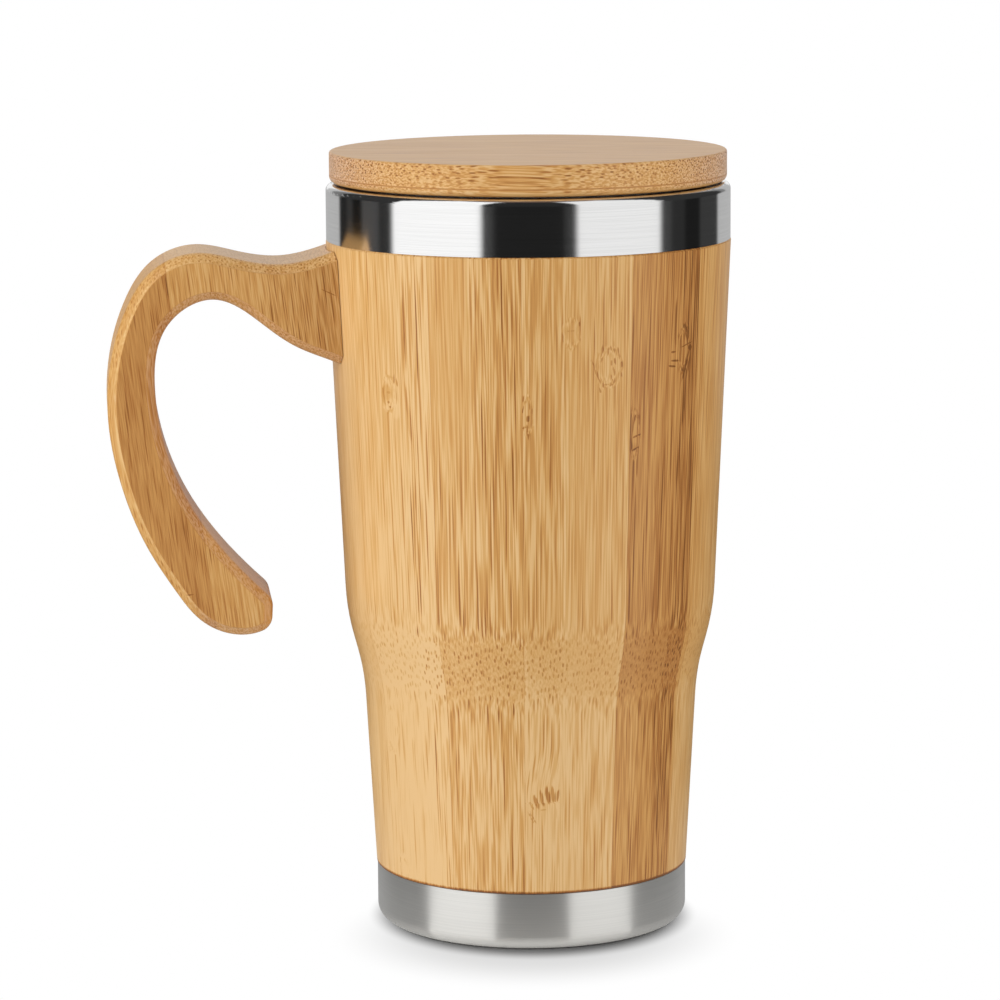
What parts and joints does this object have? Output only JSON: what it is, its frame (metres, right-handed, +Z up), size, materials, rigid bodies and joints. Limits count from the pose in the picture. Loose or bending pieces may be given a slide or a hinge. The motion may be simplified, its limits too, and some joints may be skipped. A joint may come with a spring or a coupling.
{
  "type": "bamboo travel mug",
  "caption": "Tapered travel mug of glued bamboo staves with a stepped waist, steel liner and base, hooked bamboo handle and a flat plug lid.",
  "frame": {"origin": "centre of the foot ring, on the surface the mug stands on", "axes": "+Z up along the mug's axis, handle towards -X, so +Y runs across the handle's board"},
  "size_m": [0.1352, 0.0876, 0.169],
  "materials": {
    "sleeve_bamboo": "turned bamboo under thin satin lacquer, fine upright fibres",
    "handle_bamboo": "sawn bamboo board with bevelled edges under thin satin lacquer",
    "lid_bamboo": "flat bamboo board under thin satin lacquer",
    "liner_steel": "mirror-polished stainless steel",
    "base_steel": "stainless steel brushed round the axis",
    "screw_steel": "plain zinc-plated steel",
    "plug_plastic": "off-white moulded plastic",
    "seal_silicone": "milky silicone"
  },
  "bodies": {
    "cup": {"base_cup": "base_steel", "stave_01": "sleeve_bamboo", "stave_02": "sleeve_bamboo", "stave_03": "sleeve_bamboo", "stave_04": "sleeve_bamboo", "stave_05": "sleeve_bamboo", "stave_06": "sleeve_bamboo", "stave_07": "sleeve_bamboo", "stave_08": "sleeve_bamboo", "stave_09": "sleeve_bamboo", "stave_10": "sleeve_bamboo", "stave_11": "sleeve_bamboo", "stave_12": "sleeve_bamboo", "liner_cup": "liner_steel", "handle": "handle_bamboo", "handle_screws": "screw_steel"},
    "seal": {"lid_seal": "seal_silicone"},
    "lid": {"lid_disc": "lid_bamboo", "lid_plug": "plug_plastic"}
  },
  "joints": [
    {"name": "lid_lift", "type": "slide", "parent": "cup", "child": "seal", "axis": [0, 0, 1], "range_m": [0, 0.04]},
    {"name": "lid_turn", "type": "hinge", "parent": "seal", "child": "lid", "pos_m": [0, 0, 0.162], "axis": [0, 0, 1], "continuous": true}
  ]
}
